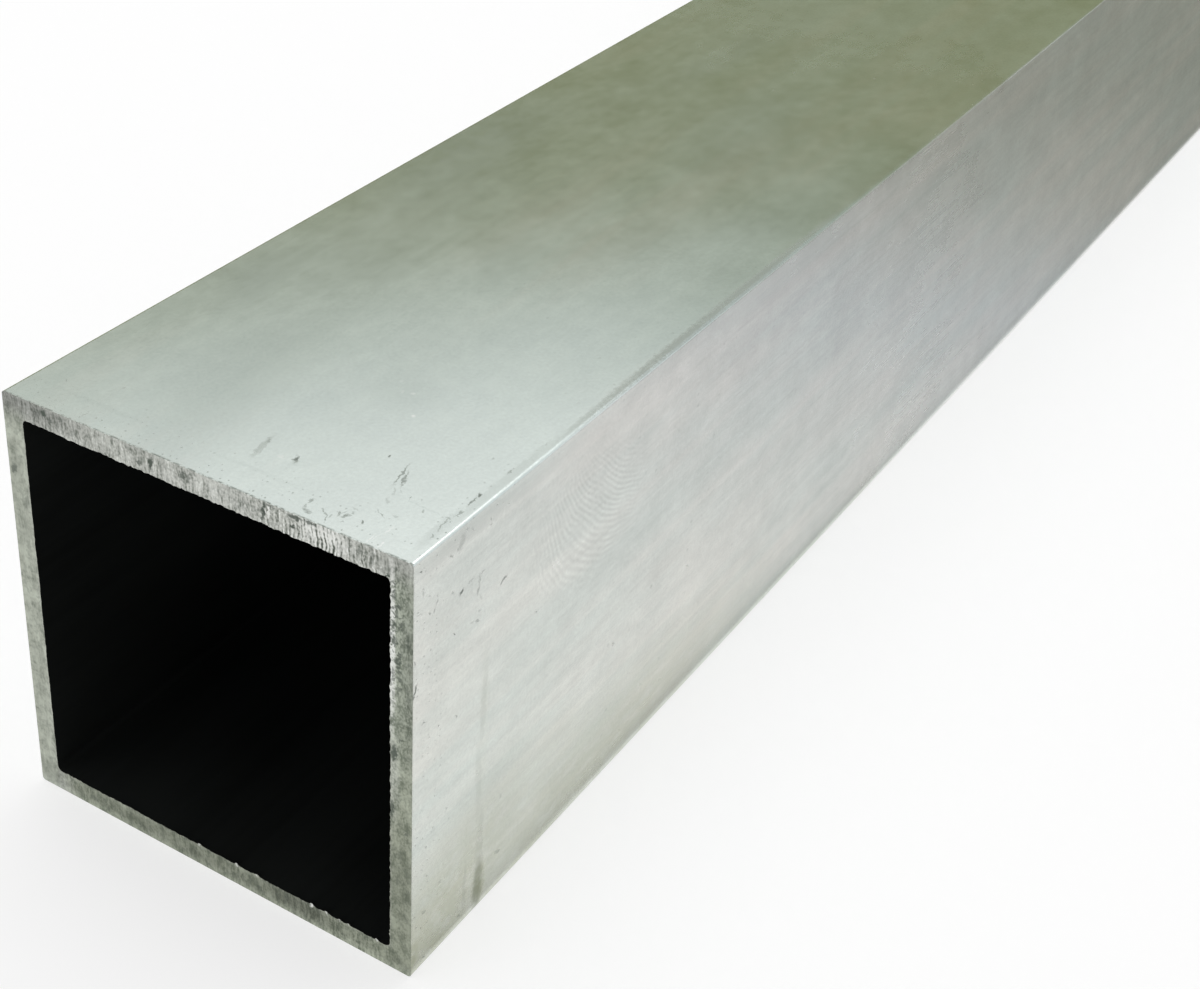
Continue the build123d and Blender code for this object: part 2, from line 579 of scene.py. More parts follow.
TOP_SCRATCHES_AND_HIGHLIGHT = (
    (0.75, -15.6, 1, 0.85, 0.05, 0.9),
    (1.1, -15.85, 2, 0.7, 0.04, 0.6),
    (2.5, -16.1, 0, 0.75, 0.05, 0.6),
    (0.7, -16.7, 0, 0.5, 0.06, 0.8),
    # painted highlight: the lit side of the dent
    (5.4, -3.8, 85, 0.4, 0.14, 0.4),
    (15.95, -8.45, 30, 0.2, 0.15, 0.8),
    (18.7, -6.4, 50, 0.24, 0.18, 0.5),
    (18.4, -5.6, 20, 0.24, 0.14, 0.3),
    (19.6, -4.6, 20, 0.22, 0.12, 0.3),
)
FINGER = ((24.5, 30.3), (9.5, 6.8), 0.53)  # centre, half size and the pitch of its ridges
# What sets the outside materials apart. See mill_finish.
PLAIN_LOOK = {"streaks": 0.7, "cloudiness": 1.0, "warmth": 0.15, "rim": 0.5}
TOP_MARKS = {"across": 1, "dirt": TOP_DIRT_AND_SHADE, "smudges": TOP_SMUDGES, "scratches": TOP_SCRATCHES_AND_HIGHLIGHT}
TOP_LOOK = {"streaks": 0.14, "cloudiness": 0.9, "warmth": -0.1, "rim": 0.8, **TOP_MARKS}
SIDE_MARKS = {"across": 2, "dirt": SIDE_DIRT_AND_SHADE, "smudges": SIDE_SMUDGES_AND_SHADE, "touch": FINGER}
SIDE_LOOK = {"streaks": 0.9, "cloudiness": 1.3, "warmth": 0.15, "rim": 0.25, **SIDE_MARKS}
BACK_OFFSET = 300.0  # keeps the pattern of the back and the underside apart from that of the other two
CHATTER_PLACE, CHATTER_PITCH = 11.3, 0.36  # where the saw chattered, right of the middle, and its pitch
# On the near end, across is the height, and the first number runs to the right from the middle.
END_PITS = (
    (-15.55, 39.4, -30, 0.45, 0.32, 1),
    (-14.9, 39, -30, 0.42, 0.26, 0.65),
    (-13.75, 39.5, 80, 0.36, 0.18, 0.55),
    (-16.3, 39.2, 20, 0.55, 0.4, 0.3),
    (-12.6, 38.7, 60, 0.4, 0.22, 0.35),
    (-8.4, 39.4, 80, 0.5, 0.16, 0.3),
    (-5.7, 38.65, 0, 0.28, 0.22, 0.75),
    (-4.5, 39, 78, 0.64, 0.3, 1),
    (-1.25, 39.2, 85, 0.48, 0.28, 0.75),
    (-0.75, 39.1, 80, 0.35, 0.22, 0.55),
    (2.3, 39.3, 80, 0.55, 0.16, 0.35),
    (4.6, 39, 85, 0.6, 0.14, 0.35),
    (6.45, 39.1, 80, 1.15, 0.17, 0.95),
    (9.2, 38.75, 0, 0.21, 0.19, 1),
    (9.4, 39.72, 0, 0.8, 0.24, 0.9),
    (7.2, 39.8, 0, 0.6, 0.12, 0.6),
    (10.9, 39.8, 0, 0.6, 0.18, 0.8),
    (14.3, 39.3, 84, 0.8, 0.14, 0.45),
    (15.2, 39.2, 86, 0.8, 0.16, 0.45),
    (16.4, 39, 84, 0.8, 0.15, 0.4),
    (17.66, 38.1, 35, 0.3, 0.15, 1),
    (18.3, 36.6, 70, 0.45, 0.14, 0.6),
    (18.5, 35.3, 100, 0.6, 0.13, 0.7),
    (18.9, 34.2, 75, 0.55, 0.16, 0.75),
    (18.3, 32.6, 95, 0.6, 0.16, 0.7),
    (18.7, 31.2, 60, 0.55, 0.16, 0.75),
    (18.2, 29.6, 90, 0.55, 0.14, 0.6),
    (19.5, 33, 90, 0.8, 0.16, 0.45),
    (19.6, 28, 90, 0.6, 0.14, 0.4),
    (18.3, 22.2, 85, 0.95, 0.26, 0.85),
    (18.9, 23.6, 40, 0.3, 0.18, 0.65),
    (18.1, 16.6, 90, 1, 0.26, 0.8),
    (19.4, 14.7, 60, 0.28, 0.18, 0.65),
    (18.6, 9.5, 80, 0.7, 0.16, 0.4),
    (-19.5, 32.8, 60, 0.55, 0.32, 0.7),
    (-18.4, 30, 80, 0.7, 0.26, 0.4),
    (-13.8, 0.9, 0, 0.6, 0.36, 0.4),
    (-6, 1.2, 85, 0.8, 0.16, 0.25),
    (3.6, 1.2, 85, 0.8, 0.18, 0.35),
    (7.4, 1.2, 85, 0.9, 0.22, 0.4),
)
# Painted shade: soft darker patches on the near end.
END_SHADE = (
    (-19.2, 39.4, 0, 8.5, 1.7, 0.76),
    (18.6, 39, 0, 2.6, 1.6, 0.38),
    (20, 30, 90, 12, 1.3, 0.5),
    (19.5, 37.2, 90, 1.8, 0.8, 0.34),
    (19.3, 32.6, 90, 1.6, 0.7, 0.3),
    (19, 9, 90, 9, 2.4, 0.3),
    (8.5, 1.4, 0, 5.5, 1.8, 0.8),
    (-1, 0.8, 0, 24, 2.4, 0.4),
    (-19, 27, 90, 1.2, 0.7, 0.25),
    (-19.2, 33, 90, 2.4, 0.8, 0.2),
    (-18.8, 12, 90, 3.4, 0.9, 0.18),
)
# Painted highlights: lighter patches on the near end.
END_BRIGHT = (
    (11.9, 39, 0, 3, 1.6, 0.75),
    (1.5, 38.7, 0, 8, 1.4, 0.16),
    (18.1, 32, 90, 9.5, 0.36, 0.95),
    (18.3, 20, 90, 5, 0.6, 0.3),
)
END_BURRS = (
    (6.95, 39.1, 83, 0.85, 0.13, 0.85),
    (10.1, 2.15, 90, 0.4, 0.2, 1),
    (2.2, 2.1, 90, 0.26, 0.16, 0.8),
    (4.4, 2.1, 90, 0.2, 0.13, 0.55),
    (11.6, 2.1, 90, 0.24, 0.15, 0.8),
    (12.9, 2.1, 90, 0.2, 0.13, 0.6),
    (13.8, 2.1, 90, 0.2, 0.13, 0.6),
    (16.7, 2.1, 90, 0.26, 0.18, 0.85),
    (-1.8, 2.1, 90, 0.22, 0.13, 0.5),
)


def mark_field(nodes, place, marks, edge):
    """How strongly each point of a face is marked, from 0 to 1. edge is how soft a mark's outline is."""
    field = 0.0
    spread = 1.0 + edge / 3  # how far past its half length a mark fades out
    for x, y, angle, half_length, half_width, strength in marks:
        node = nodes.add("TexGradient", {"Vector": place}, gradient_type="SPHERICAL")
        node.texture_mapping.vector_type = "TEXTURE"
        node.texture_mapping.translation = (x, y, 0.0)
        node.texture_mapping.rotation = (0.0, 0.0, math.radians(angle))
        node.texture_mapping.scale = (half_length * spread, half_width * spread, 1.0)
        spot = nodes.ease(node.outputs["Fac"], 0.0, (spread - 1.0 + edge) / spread, 0.0, strength)
        field = nodes.largest(field, spot)
    return field


def specks(nodes, place, stretch, size, share, seed):
    """Scattered specks, from 0 to 1. share is how many of the cells hold one."""
    cells = nodes.vector("ADD", nodes.vector("MULTIPLY", place, stretch), (seed, seed, seed))
    inputs = {"Vector": cells, "Scale": 1.0, "Randomness": 0.9}
    voronoi = nodes.add("TexVoronoi", inputs, voronoi_dimensions="2D")
    red, green, _ = nodes.add("SeparateColor", {0: voronoi.outputs["Color"]}).outputs[:3]
    chosen = nodes.math("GREATER_THAN", red, 1.0 - share)
    radius = nodes.math("MULTIPLY_ADD", green, size, 0.3 * size)
    inside = nodes.math("DIVIDE", voronoi.outputs["Distance"], radius)
    return nodes.product(nodes.ease(inside, 1.1, 0.5), chosen)


def roughened(nodes, place, scale, amount):
    """place, moved a little by noise, which makes the outlines of marks ragged."""
    shift = nodes.vector("SUBTRACT", nodes.noise(place, scale, 2.0, 0.6, tint=True), (0.5, 0.5, 0.5))
    return nodes.vector("ADD", place, nodes.scaled(shift, amount))


def finger_mark(nodes, place, centre, half_size, pitch):
    """The faint ridges of a finger's touch, from -1 to 1: upright to the left, fanning out to the right."""
    local = nodes.vector("SUBTRACT", place, (*centre, 0.0))
    across, up, _ = nodes.split(local)
    across = nodes.math("ADD", across, half_size[0])
    slope = nodes.math("MULTIPLY_ADD", across, -0.018, 1.0)
    slope = nodes.math("MULTIPLY_ADD", up, 0.057, slope)
    ridges = nodes.math("MULTIPLY_ADD", up, 0.17, nodes.product(across, slope))
    ridges = nodes.math("ADD", nodes.noise(place, 0.22, 1.0), ridges)
    wave = nodes.math("SINE", nodes.product(ridges, 2 * math.pi / pitch))
    reach = nodes.vector("LENGTH", nodes.vector("DIVIDE", local, (*half_size, 1.0)))
    patch = nodes.ease(nodes.noise(place, 0.45, 1.0), 0.3, 0.6, 0.35, 1.0)
    return nodes.product(wave, nodes.ease(reach, 1.1, 0.5), patch)


def mill_finish(
    finish, name, streaks, cloudiness, warmth, rim,
    across=None, dirt=(), smudges=(), stain=None, scratches=(), touch=None,
):
    """Extruded aluminium: cloudy oxide, die lines along the tube, the scuffs and dirt of handling,
    and painted shade and highlights among those marks.

    streaks and cloudiness are how much the die lines and the oxide show, warmth is how warm the oxide is,
    and rim is how dirty the edge of a cut end is. across is the axis (1 for Y, 2 for Z) that the marks are
    placed on, stain is the colour of the smudges and of the painted shade among them, and touch is where a
    finger has been. Lengths are in millimetres, and a noise's scale is how quickly it changes along and
    round the tube, per millimetre."""
    material, nodes = new_material(name)
    x, y, z = nodes.split(nodes.place(MM))
    along = nodes.math("SUBTRACT", x, NEAR_X / MM)
    from_end = nodes.math("MINIMUM", along, nodes.math("SUBTRACT", FAR_X / MM, x))

    # flat coordinates that run along and round the tube, so that every edge between two walls is joined
    back_or_base = nodes.math("GREATER_THAN", nodes.math("SUBTRACT", y, z), -SIDE / 2 / MM)
    around = nodes.math("MULTIPLY_ADD", back_or_base, BACK_OFFSET, nodes.math("ADD", y, z))
    skin = nodes.joined(along, around)
    clouds = nodes.noise(skin, (0.025, 0.05, 0.0), 3.0, 0.55)
    patches = nodes.noise(skin, (0.13, 0.17, 0.0), 3.0, 0.55)
    mottle = nodes.noise(skin, (0.45, 0.7, 0.0), 3.0, 0.6)
    die_lines = nodes.noise(skin, (0.006, 0.35, 0.0), 2.0)
    fine_lines = nodes.noise(skin, (0.035, 1.7, 0.0), 2.0, 0.6)
    hair_lines = nodes.noise(skin, (0.07, 5.5, 0.0), 1.0)
    grain = nodes.noise(skin, 3.2, 1.0)

    near_ends = nodes.ease(from_end, 60.0, 0.0, 0.25, 1.0)
    dots = specks(nodes, skin, (0.3, 0.4, 0.0), 0.06, 0.4, 3.0)
    dirty = nodes.product(dots, near_ends, 0.3)
    crumbs = specks(nodes, skin, (1.3, 1.6, 0.0), 0.13, 0.42, 29.0)
    from_ridge = nodes.math("ABSOLUTE", nodes.math("SUBTRACT", around, SIDE / 2 / MM))
    by_ridge = nodes.product(nodes.ease(from_ridge, 2.6, 0.8, 0.0, 0.45), nodes.ease(from_end, 24.0, 8.0))
    by_end = nodes.ease(from_end, 6.0, 0.5, 0.0, 0.4)
    crumbs = nodes.product(crumbs, nodes.largest(by_ridge, by_end))
    smeared_and_shaded, scratched_and_lit = 0.0, 0.0
    if across:
        dirty = nodes.product(dirty, nodes.ease(along, 14.0, 45.0))  # the near part has marks of its own
        marked = nodes.joined(along, (x, y, z)[across])
        ragged = roughened(nodes, marked, 2.0, 0.55)
        # the dirt marks include painted shade beside the ridge and on the dent's dark side
        dirty = nodes.largest(dirty, mark_field(nodes, ragged, dirt, 0.6))
        smeared_and_shaded = nodes.ease(mottle, 0.25, 0.6, 0.6, 1.0)
        # on the side, some smudges are painted shade towards the bottom edge
        smeared_and_shaded = nodes.product(mark_field(nodes, ragged, smudges, 0.95), smeared_and_shaded)
        # one of the scratches is the painted highlight on the dent's lit side
        scratched_and_lit = mark_field(nodes, ragged, scratches, 0.5)
    broken = nodes.math("ADD", grain, mottle)
    dirty = nodes.product(nodes.largest(dirty, crumbs), nodes.ease(broken, 0.7, 1.05, 0.5, 1.0))
    end_grime = nodes.product(nodes.ease(broken, 0.78, 1.25, 0.0, rim), nodes.ease(from_end, 0.24, 0.03))
    dirty = nodes.largest(dirty, end_grime)

    warm = nodes.ease(nodes.math("MULTIPLY_ADD", die_lines, 0.6, clouds), 0.6 - warmth, 1.3 - warmth)
    tint = nodes.mix(warm, finish.mill_colour, finish.warm_colour)
    cloudy = nodes.sum(0.0, (clouds, 0.12), (patches, 0.14), (mottle, 0.12))
    lined = nodes.sum(0.0, (die_lines, 0.15), (fine_lines, 0.13), (hair_lines, 0.06))
    level = nodes.math("MULTIPLY_ADD", cloudy, cloudiness, nodes.sum(1.0, (grain, 0.1 + 0.05 * streaks)))
    level = nodes.math("MULTIPLY_ADD", lined, streaks, level)
    gloss = nodes.sum(finish.mill_roughness, (patches, 0.05 * cloudiness), (mottle, 0.025))
    gloss = nodes.math("MULTIPLY_ADD", fine_lines, 0.05 * streaks, gloss)
    gloss = nodes.math("ADD", gloss, nodes.ease(along, 50.0, 140.0, 0.0, 0.08))  # duller past the near part
    if touch:
        ridges = finger_mark(nodes, marked, *touch)
        level = nodes.math("MULTIPLY_ADD", ridges, 0.06, level)
        gloss = nodes.math("MULTIPLY_ADD", ridges, 0.02, gloss)
    shade = nodes.scaled(tint, level)
    if stain:
        # the smudge colour also paints that shade
        shade = nodes.mix(smeared_and_shaded, shade, stain)
    shade = nodes.mix(scratched_and_lit, shade, finish.bright_colour)
    # dirty carries both dirt and that painted shade
    shade = nodes.mix(dirty, shade, finish.dirt_and_shade_colour)
    gloss = nodes.math("MULTIPLY_ADD", smeared_and_shaded, 0.08, gloss)
    gloss = nodes.math("MULTIPLY_ADD", dirty, 0.25, gloss)

    waves = nodes.noise(skin, (0.03, 0.05, 0.0), 1.0)
    height = nodes.sum(0.0, (waves, 0.06), (die_lines, 0.008 * streaks), (fine_lines, 0.003 * streaks))
    tangent = nodes.add("Tangent", {}, direction_type="RADIAL", axis="X")
    nodes.surface(
        {
            "Base Color": shade,
            "Metallic": nodes.math("MULTIPLY_ADD", dirty, -0.6, 1.0),
            "Roughness": gloss,
            "Anisotropic": finish.brushing,
            "Normal": nodes.bump(height),
            "Tangent": tangent.outputs[0],
        }
    )
    return material


def sawn_metal(finish):
    """The cut ends: fine upright saw lines, torn flecks and pits, burrs, and painted shade to the right,
    below and in soft patches.
    """
    material, nodes = new_material("sawn_metal")
    x, y, z = nodes.split(nodes.place(MM))
    right = nodes.product(y, -1.0)
    end = nodes.joined(right, z)
    near_end = nodes.math("LESS_THAN", x, 0.0)
    depth = nodes.add("Attribute", {}, attribute_name="saw_depth").outputs["Fac"]

    # where the walls are, seen from the near end
    below_top = nodes.ease(z, 39.8, 37.0)
    on_right = nodes.product(nodes.ease(right, 17.0, 18.5), below_top)
    on_left = nodes.product(nodes.ease(right, -17.0, -18.5), below_top)
    on_bottom = nodes.product(nodes.ease(z, 3.0, 1.6), nodes.ease(right, -19.0, -15.0))
    # painted shade: the right and bottom walls of the cut ends are darker and more olive
    shaded_walls = nodes.largest(on_right, on_bottom)

    # the saw tore the top wall most, above all to the right, and the left wall least
    smooth_right = nodes.product(on_right, nodes.ease(z, 32.0, 10.0, 0.1, 0.5))
    smooth = nodes.largest(nodes.product(on_left, 0.7), nodes.product(on_bottom, 0.55), smooth_right)
    from_chatter = nodes.math("ABSOLUTE", nodes.math("SUBTRACT", right, CHATTER_PLACE))
    tear = nodes.product(nodes.math("SUBTRACT", 1.0, smooth), nodes.ease(from_chatter, 7.5, 3.0, 0.62, 1.0))
    chatter = nodes.product(nodes.ease(from_chatter, 3.6, 1.6), nodes.ease(z, 37.0, 38.0), near_end)

    sway = nodes.noise(end, (0.35, 0.8, 0.0), 1.0)
    leaning = nodes.math("MULTIPLY_ADD", sway, 0.35, nodes.math("MULTIPLY_ADD", z, 0.07, right))
    upright = nodes.joined(leaning, z)
    lines = nodes.noise(upright, (4.4, 0.45, 0.0), 2.0, 0.6)
    flecks = nodes.noise(end, (5.4, 3.6, 0.0), 2.0, 0.6)
    blotches = nodes.noise(end, (0.9, 0.7, 0.0), 3.0, 0.6)
    comb = nodes.math("SINE", nodes.product(leaning, 2 * math.pi / CHATTER_PITCH))
    comb = nodes.product(comb, chatter, 0.2)
    saw_lines = nodes.product(nodes.sum(0.0, (lines, 1.1)), nodes.ease(on_right, 0, 1, 1.0, 0.35))
    contrast = nodes.math("ADD", saw_lines, nodes.sum(comb, (flecks, 1.0)))
    contrast = nodes.math("MULTIPLY_ADD", nodes.math("SUBTRACT", depth, 0.65), -0.12, contrast)
    # painted shade lowers the level on the right and bottom walls
    level = nodes.sum(nodes.math("MULTIPLY_ADD", shaded_walls, -0.09, 0.515), (blotches, 0.55))
    torn = nodes.math("MULTIPLY_ADD", contrast, tear, level)
    shade = nodes.ramp(
        torn,
        (0.0, (0.10, 0.115, 0.095)),
        (0.32, (0.27, 0.29, 0.26)),
        (0.5, tuple(finish.sawn_colour)),
        (0.68, (0.66, 0.68, 0.64)),
        (0.9, tuple(finish.bright_colour)),
    )
    # the olive tint of that painted shade
    olive = nodes.mix(nodes.ease(z, 32.0, 12.0), (0.93, 0.98, 0.89), (0.88, 0.92, 0.79))
    tint = nodes.mix(shaded_walls, WHITE, olive)
    tint = nodes.mix(on_left, tint, (0.91, 0.94, 0.87))
    shade = nodes.vector("MULTIPLY", shade, tint)

    # short dark curls, most of them on the inner half of the right wall
    rim = nodes.noise(end, (1.7, 1.3, 0.0), 1.0)
    curl = nodes.ease(nodes.math("ABSOLUTE", nodes.math("SUBTRACT", rim, 0.5)), 0.13, 0.05)
    broken = nodes.ease(nodes.noise(end, (1.3, 1.7, 0.0), 1.0), 0.45, 0.6)
    inner_right = nodes.product(on_right, nodes.ease(right, 19.2, 18.8), nodes.ease(z, 26.0, 31.0))
    curl = nodes.product(curl, nodes.math("MULTIPLY_ADD", inner_right, 0.6, 0.22), broken)

    ragged = roughened(nodes, end, 3.0, 0.6)
    pits, painted_shade, lit, burrs = (
        nodes.product(mark_field(nodes, ragged, marks, edge), near_end)
        for marks, edge in ((END_PITS, 0.45), (END_SHADE, 0.95), (END_BRIGHT, 0.8), (END_BURRS, 0.6))
    )
    pits = nodes.largest(pits, curl)
    lit = nodes.product(lit, nodes.ease(torn, 0.2, 0.5))
    # painted shade darkens the near end, the lit patches are painted highlights, and the burrs are fresh
    # metal
    shade = nodes.scaled(shade, nodes.math("MULTIPLY_ADD", painted_shade, -0.6, 1.0))
    shade = nodes.mix(nodes.largest(lit, burrs), shade, finish.bright_colour)
    shade = nodes.mix(pits, shade, finish.dirt_and_shade_colour)

    height = nodes.product(nodes.sum(0.0, (lines, 0.03), (flecks, 0.03)), tear)
    nodes.surface(
        {
            "Base Color": shade,
            "Metallic": nodes.math("MULTIPLY_ADD", pits, -0.6, 1.0),
            "Roughness": nodes.sum(finish.sawn_roughness, (blotches, 0.2), (flecks, 0.15)),
            "Normal": nodes.bump(height),
        }
    )
    return material


def painted_shade_bore(finish):
    """The inside: painted shade, near black, and lined along the tube by the die."""
    material, nodes = new_material("painted_shade_bore")
    place = nodes.place(MM)
    lines = nodes.noise(place, (0.02, 1.7, 1.7), 2.0, 0.6, dimensions="3D")
    film = nodes.noise(place, (0.05, 0.12, 0.12), 2.0, dimensions="3D")
    level = nodes.sum(1.0, (lines, 0.8), (film, 1.2))
    nodes.surface(
        {
            # a near black base colour, which paints the shade inside the tube
            "Base Color": nodes.scaled(tuple(finish.bore_shade_colour), level),
            "Metallic": 0.0,
            "Specular IOR Level": 0.1,
            "Roughness": nodes.sum(0.7, (film, 0.3), (lines, 0.2)),
            "Normal": nodes.bump(nodes.product(lines, 0.01)),
        }
    )
    return material


# ---- Studio ----

OPTICAL_AXIS = (520.0, 320.0)  # where the lens looks straight ahead, in a picture of this size
PICTURE = (1200.0, 989.0)
WHITE = (1.0, 1.0, 1.0)
SENSOR_WIDTH = 36.0
CLIP_START, CLIP_END = 0.005, 50.0
WORLD_LIGHT = 0.6  # how bright the world is as a light, where the white that the camera sees is 1
FLOOR_GAP = 0.05 * MM
FLOOR_COLOUR = (0.45, 0.45, 0.45, 1.0)
FLOOR_GLOW = 0.6  # brings the lit floor up to white
SHADED_FLOOR = (0.5, 1.8)  # the floor goes from shaded to plain white between these distances
TENT_ROWS, TENT_COLUMNS = 8, 48
SHADE_EDGE = (0.509, 0.418)  # the tent goes from clear to dark between these heights, as shares of its own
SHADE_SLANT = 0.105  # how much higher the shade's edge is at the sides
GEL_HEIGHT = 0.2 * MM  # of the tinted sheet round the tube
GEL_GAP = 0.3 * MM  # between the sheet and the tube
GEL_X, GEL_Y = (-0.8, 1.1), (-0.8, 0.8)  # how far the sheet goes
GEL_REACH = 35.0 * MM  # how far from a side the floor is that this side mirrors
# How far the sheet's shade moves towards the near end per metre from the tube, within that reach and past it
GEL_SLANTS = (0.5, -0.76)
GEL_SHADE = (-0.235, 0.005)  # the sheet goes from clear to dark between these places along the tube
CREVICE = 2.0 * MM  # painted contact shadow: the floor right beside the tube is darker within this distance


def add_object(name, data):
    thing = bpy.data.objects.new(name, data)
    bpy.context.scene.collection.objects.link(thing)
    return thing


def add_stage_mesh(name, points, faces):
    """A new object with a material of its own, and what adds nodes to that."""
    mesh = bpy.data.meshes.new(name)
    mesh.from_pydata(points, [], faces)
    material, nodes = new_material(name)
    mesh.materials.append(material)
    return add_object(name, mesh), nodes


def make_camera(studio):
    azimuth, elevation, roll = studio.azimuth, studio.elevation, studio.roll
    level = math.cos(elevation)
    forward = Vector((level * math.cos(azimuth), level * math.sin(azimuth), math.sin(elevation)))
    across = forward.cross(Vector((0, 0, 1))).normalized()
    upright = across.cross(forward)
    right = math.cos(roll) * across + math.sin(roll) * upright
    up = math.cos(roll) * upright - math.sin(roll) * across
    data = bpy.data.cameras.new("tube_camera")
    data.sensor_width = SENSOR_WIDTH
    data.lens = studio.focal_length
    data.shift_x = (PICTURE[0] / 2 - OPTICAL_AXIS[0]) / PICTURE[0]
    data.shift_y = (OPTICAL_AXIS[1] - PICTURE[1] / 2) / PICTURE[0]
    data.clip_start = CLIP_START
    data.clip_end = CLIP_END
    camera = add_object("tube_camera", data)
    turned = Matrix((right, up, -forward)).transposed().to_4x4()
    camera.matrix_world = Matrix.Translation(studio.camera_place) @ turned
    bpy.context.scene.camera = camera


def make_world():
    """White all round for the camera and in reflections, and a plain soft light for the rest."""
    world = bpy.data.worlds.new("studio_world")
    bpy.context.scene.world = world
    nodes = Nodes(world)
    path = nodes.add("LightPath", {})
    rays = ("Is Camera Ray", "Is Glossy Ray", "Is Transmission Ray")
    seen = nodes.largest(*(path.outputs[ray] for ray in rays))
    strength = nodes.math("MULTIPLY_ADD", seen, 1.0 - WORLD_LIGHT, WORLD_LIGHT)
    nodes.finish("OutputWorld", nodes.add("Background", {"Color": (*WHITE, 1.0), "Strength": strength}))


def make_floor(studio):
    """A white floor that takes a soft shadow near the tube, and is plain white further off."""
    half = studio.floor_size / 2
    corners = ((-half, -half), (half, -half), (half, half), (-half, half))
    points = [(x, y, -FLOOR_GAP) for x, y in corners]
    floor, nodes = add_stage_mesh("studio_floor", points, [(0, 1, 2, 3)])
    plain = nodes.ease(nodes.vector("LENGTH", nodes.place()), *SHADED_FLOOR)
    shaded = nodes.add("BsdfDiffuse", {"Color": FLOOR_COLOUR})
    glow = nodes.add("Emission", {"Color": (*WHITE, 1.0), "Strength": FLOOR_GLOW})
    near = nodes.add("AddShader", {0: shaded.outputs[0], 1: glow.outputs[0]})
    far = nodes.add("Emission", {"Color": (*WHITE, 1.0), "Strength": 1.0})
    nodes.finish("OutputMaterial", nodes.add("MixShader", {0: plain, 1: near.outputs[0], 2: far.outputs[0]}))


def only_in_reflections(thing):
    thing.visible_camera = False
    thing.visible_shadow = False
    thing.visible_diffuse = False


def make_tent(studio):
    """A dome of tinted gauze that only reflections pass through. It darkens the view past the far end."""
    points, faces = [], []
    for row in range(TENT_ROWS + 1):
        tilt = row / TENT_ROWS * math.pi / 2
        out = studio.tent_radius * math.cos(tilt)
        up = studio.tent_radius * math.sin(tilt)
        for column in range(TENT_COLUMNS):
            turn = column / TENT_COLUMNS * 2 * math.pi
            points.append((out * math.cos(turn), out * math.sin(turn), up))
    for row in range(TENT_ROWS):
        for column in range(TENT_COLUMNS):
            a = row * TENT_COLUMNS + column
            b = row * TENT_COLUMNS + (column + 1) % TENT_COLUMNS
            faces.append((a, b, b + TENT_COLUMNS, a + TENT_COLUMNS))
    tent, nodes = add_stage_mesh("studio_tent", points, faces)
    x, y, z = nodes.split(nodes.vector("NORMALIZE", nodes.place()))
    height = nodes.math("MULTIPLY_ADD", nodes.math("ABSOLUTE", y), -SHADE_SLANT, z)
    low = nodes.ease(height, *SHADE_EDGE)
    ahead = nodes.product(low, nodes.ease(x, 0.1, 0.5, 0.3, 1.0), nodes.ease(y, -0.35, 0.0, 0.25, 1.0))
    # and a band across the tent that is dark at every height
    sideways = nodes.ease(y, 0.0, -0.4, 1.0, nodes.ease(x, 0.72, 0.86, 0.72, 1.0))
    beside = nodes.product(nodes.ease(y, 0.4, 0.28), nodes.ease(x, 0.1, 0.3), nodes.ease(x, 0.66, 0.86))
    beside = nodes.product(beside, sideways)
    shadow = nodes.largest(ahead, beside)
    tint = nodes.ramp(
        shadow,
        (0.0, WHITE),
        (0.5, (0.57, 0.665, 0.71)),
        (0.8, (0.33, 0.39, 0.37)),
        (1.0, (0.18, 0.19, 0.065)),
    )
    nodes.finish("OutputMaterial", nodes.add("BsdfTransparent", {"Color": tint}))
    only_in_reflections(tent)


def make_floor_gel():
    """A tinted sheet on the floor round the tube, seen only in reflections, where it shades the floor."""
    inside = SIDE / 2 + GEL_GAP
    edges_x = (GEL_X[0], NEAR_X - GEL_GAP, FAR_X + GEL_GAP, GEL_X[1])
    edges_y = (GEL_Y[0], -inside, inside, GEL_Y[1])
    points = [(x, y, GEL_HEIGHT) for y in edges_y for x in edges_x]
    faces = []
    for row in range(3):
        for column in range(3):
            if (row, column) != (1, 1):
                a = row * 4 + column
                faces.append((a, a + 1, a + 5, a + 4))
    gel, nodes = add_stage_mesh("studio_gel", points, faces)
    x, y, _ = nodes.split(nodes.place())
    beside = nodes.math("SUBTRACT", nodes.math("ABSOLUTE", y), SIDE / 2)
    beyond = nodes.math("SUBTRACT", nodes.math("ABSOLUTE", x), FAR_X)
    close = nodes.math("MINIMUM", beside, GEL_REACH)
    shifted = nodes.math("MULTIPLY_ADD", close, GEL_SLANTS[0], x)
    shifted = nodes.math("MULTIPLY_ADD", nodes.math("SUBTRACT", beside, close), GEL_SLANTS[1], shifted)
    depth = nodes.product(nodes.ease(shifted, *GEL_SHADE), nodes.ease(x, 0.3, 0.08, 0.3, 1.0))
    tint = nodes.ramp(
        depth,
        (0.0, (0.84, 0.84, 0.82)),
        (0.12, (0.77, 0.76, 0.75)),
        (0.5, (0.55, 0.55, 0.57)),
        (0.75, (0.38, 0.38, 0.355)),
        (1.0, (0.25, 0.25, 0.21)),
    )
    # painted contact shadow right beside the tube
    crevice = nodes.ease(nodes.largest(beside, beyond), 0.0, CREVICE, 0.75, 1.0)
    nodes.finish("OutputMaterial", nodes.add("BsdfTransparent", {"Color": nodes.scaled(tint, crevice)}))
    only_in_reflections(gel)


def make_lamp(name, place, target, width, height, radiance):
    """A softbox. Its power follows from its size and from how bright its face is, where 1 is white."""
    data = bpy.data.lights.new(name, "AREA")
    data.shape = "RECTANGLE"
    data.size = width
    data.size_y = height
    data.energy = radiance * math.pi * width * height
    lamp = add_object(name, data)
    lamp.location = place
    lamp.rotation_mode = "QUATERNION"
    lamp.rotation_quaternion = (Vector(target) - Vector(place)).to_track_quat("-Z", "Y")


# ---- Operators and panel ----


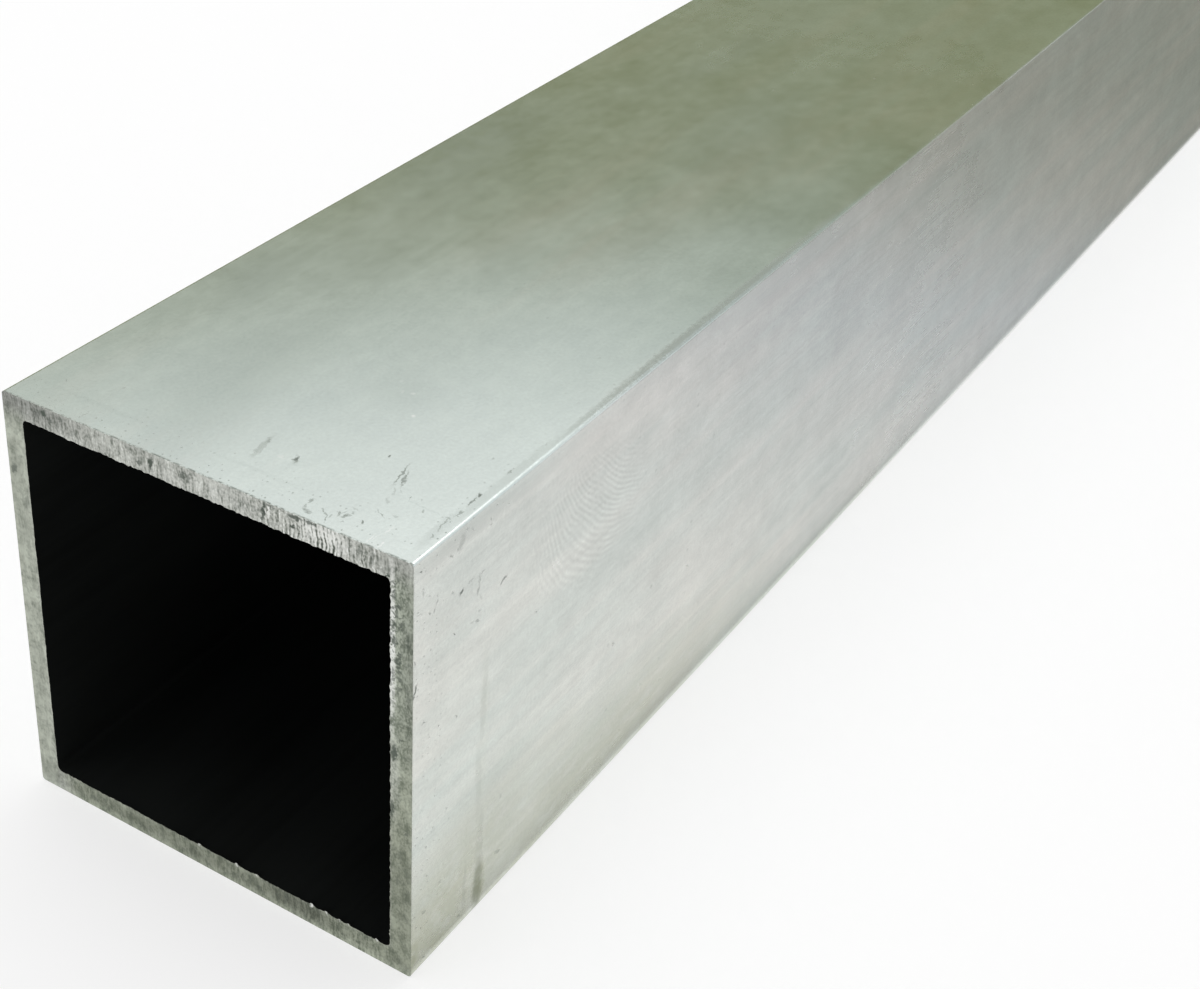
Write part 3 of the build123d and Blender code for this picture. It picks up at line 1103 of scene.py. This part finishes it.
class MESH_OT_square_tube(bpy.types.Operator):
    """Add the square tube with its sawn ends and mill finish"""

    bl_idname = "mesh.square_tube"
    bl_label = "Square Tube"

    def execute(self, context):
        settings = context.scene.square_tube
        finish = settings.finish
        # smears also colours the painted shade towards the side's bottom edge
        film, smears = tuple(finish.film_colour), tuple(finish.smear_and_shade_colour)
        mesh = mesh_from_grid("square_tube_surface", *tube_mesh(settings.shape))
        materials = (
            mill_finish(finish, "mill_finish", **PLAIN_LOOK),
            mill_finish(finish, "mill_finish_top", stain=film, **TOP_LOOK),
            mill_finish(finish, "mill_finish_side", stain=smears, **SIDE_LOOK),
            sawn_metal(finish),
            # the bore's material is painted shade
            painted_shade_bore(finish),
        )
        for material in materials:  # in the order of the slots
            mesh.materials.append(material)
        tube = add_object("square_tube_surface", mesh)
        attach(tube, "root")
        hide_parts(TUBE_NODE)
        return {"FINISHED"}


class SCENE_OT_tube_studio(bpy.types.Operator):
    """Add the floor, the lamps, the tinted sheets and the camera"""

    bl_idname = "scene.tube_studio"
    bl_label = "Studio"

    def execute(self, context):
        studio = context.scene.square_tube.studio
        context.scene.view_settings.view_transform = "Standard"
        make_camera(studio)
        make_world()
        make_floor(studio)
        make_tent(studio)
        make_floor_gel()
        make_lamp("overhead_softbox", (-0.15, 0.2, 1.35), (0, 0, 0), width=1.1, height=1.1, radiance=1.4)
        ridge = (NEAR_X, -SIDE / 2, SIDE)
        make_lamp("edge_softbox", (0.41, -0.1, 0.88), ridge, width=0.5, height=0.1, radiance=3.1)
        return {"FINISHED"}


class VIEW3D_PT_square_tube(bpy.types.Panel):
    """Square tube settings"""

    bl_label = "Square Tube"
    bl_space_type = "VIEW_3D"
    bl_region_type = "UI"
    bl_category = "Tube"

    def draw(self, context):
        layout = self.layout
        settings = context.scene.square_tube
        layout.operator(MESH_OT_square_tube.bl_idname)
        layout.operator(SCENE_OT_tube_studio.bl_idname)
        for group in (settings.shape, settings.finish, settings.studio):
            box = layout.box()
            for name in group.__annotations__:
                box.prop(group, name)


CLASSES = (
    TubeShape,
    TubeFinish,
    StudioSettings,
    SquareTubeSettings,
    MESH_OT_square_tube,
    SCENE_OT_tube_studio,
    VIEW3D_PT_square_tube,
)


def register():
    for cls in CLASSES:
        bpy.utils.register_class(cls)
    bpy.types.Scene.square_tube = PointerProperty(type=SquareTubeSettings)


def unregister():
    del bpy.types.Scene.square_tube
    for cls in reversed(CLASSES):
        bpy.utils.unregister_class(cls)


def main():
    register()
    bpy.ops.mesh.square_tube()
    bpy.ops.scene.tube_studio()


if __name__ == "__main__":
    main()
